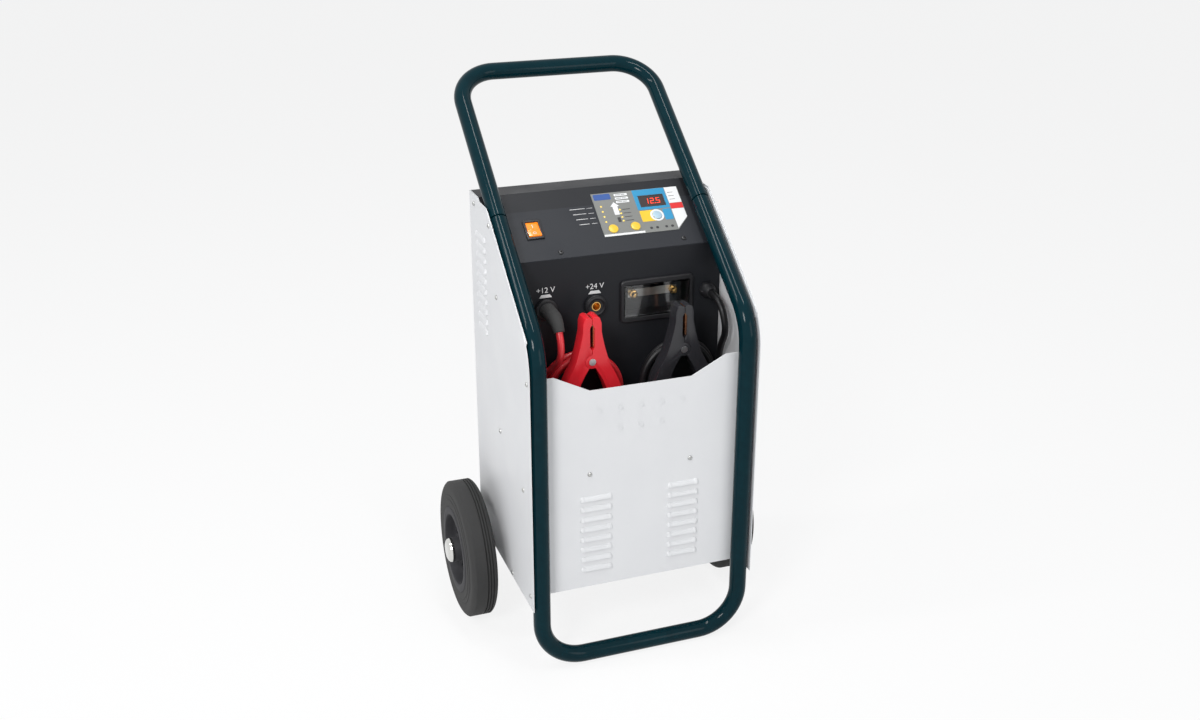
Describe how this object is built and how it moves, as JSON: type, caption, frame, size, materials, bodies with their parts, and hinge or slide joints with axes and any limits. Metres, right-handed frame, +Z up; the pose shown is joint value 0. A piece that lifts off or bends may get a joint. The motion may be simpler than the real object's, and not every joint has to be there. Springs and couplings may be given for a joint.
{
  "type": "battery charger",
  "caption": "Wheeled workshop battery charger and engine starter: bent tube frame, louvred sheet case, sloped control face, storage pocket, coiled leads with clamps.",
  "frame": {"origin": "on the floor, under the middle of the whole object", "axes": "+X to the object's right as seen from the front, +Y to the rear, +Z up"},
  "size_m": [0.582, 0.5016, 0.9613],
  "materials": {
    "frame_tube": "glossy dark green enamel",
    "case_sheet": "satin light grey powder coat",
    "black_sheet": "matt black print on sheet",
    "screw_zinc": "zinc plated",
    "axle_steel": "bright drawn",
    "tyre_rubber": "matt moulded",
    "rim_plastic": "moulded",
    "cap_chrome": "polished",
    "bush_plastic": "moulded",
    "core_iron": "laminated sheet",
    "winding_copper": "enamelled copper wire",
    "sink_aluminium": "extruded",
    "diode_steel": "plated",
    "fan_plastic": "moulded",
    "board_laminate": "printed board",
    "display_glass": "smoked",
    "overlay_print": "printed film",
    "button_yellow": "moulded",
    "button_blue": "moulded",
    "rocker_orange": "translucent, lit",
    "black_plastic": "moulded",
    "brass_contact": "turned",
    "clear_window": "clear",
    "fuse_metal": "plated",
    "plug_rubber": "moulded",
    "red_cable_rubber": "extruded sheath",
    "black_cable_rubber": "extruded sheath",
    "red_clamp_plastic": "moulded",
    "black_clamp_plastic": "moulded",
    "jaw_copper": "pressed copper strip"
  },
  "bodies": {
    "charger_case": {"lower_frame_tube": "frame_tube", "upper_handle_tube": "frame_tube", "left_side_panel": "case_sheet", "right_side_panel": "case_sheet", "front_panel": "case_sheet", "socket_panel": "black_sheet", "storage_tray": "black_sheet", "control_cover": "black_sheet", "rear_panel": "case_sheet", "base_plate": "case_sheet", "case_screws": "screw_zinc", "axle_brackets": "screw_zinc", "wheel_axle": "axle_steel", "axle_washers": "screw_zinc", "transformer_core": "core_iron", "transformer_windings": "winding_copper", "heat_sink": "sink_aluminium", "rectifier_diodes": "diode_steel", "fan_housing": "fan_plastic", "circuit_board": "board_laminate", "display_module": "display_glass", "control_overlay": "overlay_print", "rocker_bezel": "black_plastic", "socket_12v": "black_plastic", "socket_24v": "black_plastic", "socket_inserts": "brass_contact", "plug_sleeve": "plug_rubber", "plug_pin": "brass_contact", "plug_boot": "plug_rubber", "fuse_housing": "black_plastic", "fuse_window": "clear_window", "fuse_strip": "fuse_metal", "fuse_studs": "brass_contact", "cable_glands": "black_plastic", "red_cable": "red_cable_rubber", "red_cable_coil": "red_cable_rubber", "black_cable": "black_cable_rubber", "black_cable_coil": "black_cable_rubber", "red_fixed_arm": "red_clamp_plastic", "black_fixed_arm": "black_clamp_plastic", "fixed_jaws": "jaw_copper", "clamp_pins": "axle_steel", "clamp_springs": "axle_steel"},
    "left_wheel": {"left_tyre": "tyre_rubber", "left_rim": "rim_plastic", "left_hub_cap": "cap_chrome", "left_wheel_bushes": "bush_plastic"},
    "right_wheel": {"right_tyre": "tyre_rubber", "right_rim": "rim_plastic", "right_hub_cap": "cap_chrome", "right_wheel_bushes": "bush_plastic"},
    "fan": {"fan_rotor": "fan_plastic"},
    "charge_key": {"charge_button": "button_yellow"},
    "mode_key": {"mode_button": "button_yellow"},
    "voltage_key": {"voltage_button": "button_blue"},
    "rocker": {"rocker_paddle": "rocker_orange"},
    "red_clamp_lever": {"red_moving_arm": "red_clamp_plastic", "red_moving_jaw": "jaw_copper"},
    "black_clamp_lever": {"black_moving_arm": "black_clamp_plastic", "black_moving_jaw": "jaw_copper"}
  },
  "joints": [
    {"name": "left_wheel_spin", "type": "hinge", "parent": "charger_case", "child": "left_wheel", "pos_m": [-0.25, 0.00215, 0.125], "axis": [1, 0, 0], "continuous": true},
    {"name": "right_wheel_spin", "type": "hinge", "parent": "charger_case", "child": "right_wheel", "pos_m": [0.25, 0.00215, 0.125], "axis": [1, 0, 0], "continuous": true},
    {"name": "fan_spin", "type": "hinge", "parent": "charger_case", "child": "fan", "pos_m": [0, 0.06715, 0.64], "axis": [0, 1, 0], "continuous": true},
    {"name": "charge_press", "type": "slide", "parent": "charger_case", "child": "charge_key", "axis": [0, 0.5962, -0.8028], "range_m": [0, 0.001], "stiffness_N_per_m": 400, "springref_m": -0.0005},
    {"name": "mode_press", "type": "slide", "parent": "charger_case", "child": "mode_key", "axis": [0, 0.5962, -0.8028], "range_m": [0, 0.001], "stiffness_N_per_m": 400, "springref_m": -0.0005},
    {"name": "voltage_press", "type": "slide", "parent": "charger_case", "child": "voltage_key", "axis": [0, 0.5962, -0.8028], "range_m": [0, 0.001], "stiffness_N_per_m": 400, "springref_m": -0.0005},
    {"name": "rocker_tilt", "type": "hinge", "parent": "charger_case", "child": "rocker", "pos_m": [-0.12275, -0.02843, 0.72762], "axis": [1, 0, 0], "range_deg": [0, 15]},
    {"name": "red_clamp_open", "type": "hinge", "parent": "charger_case", "child": "red_clamp_lever", "pos_m": [-0.065, -0.14785, 0.531], "axis": [0, -1, 0], "range_deg": [0, 15], "stiffness_Nm_per_rad": 1.2, "springref_deg": -22.92},
    {"name": "black_clamp_open", "type": "hinge", "parent": "charger_case", "child": "black_clamp_lever", "pos_m": [0.101, -0.14785, 0.531], "axis": [0, 1, 0], "range_deg": [0, 15], "stiffness_Nm_per_rad": 1.2, "springref_deg": -22.92}
  ]
}
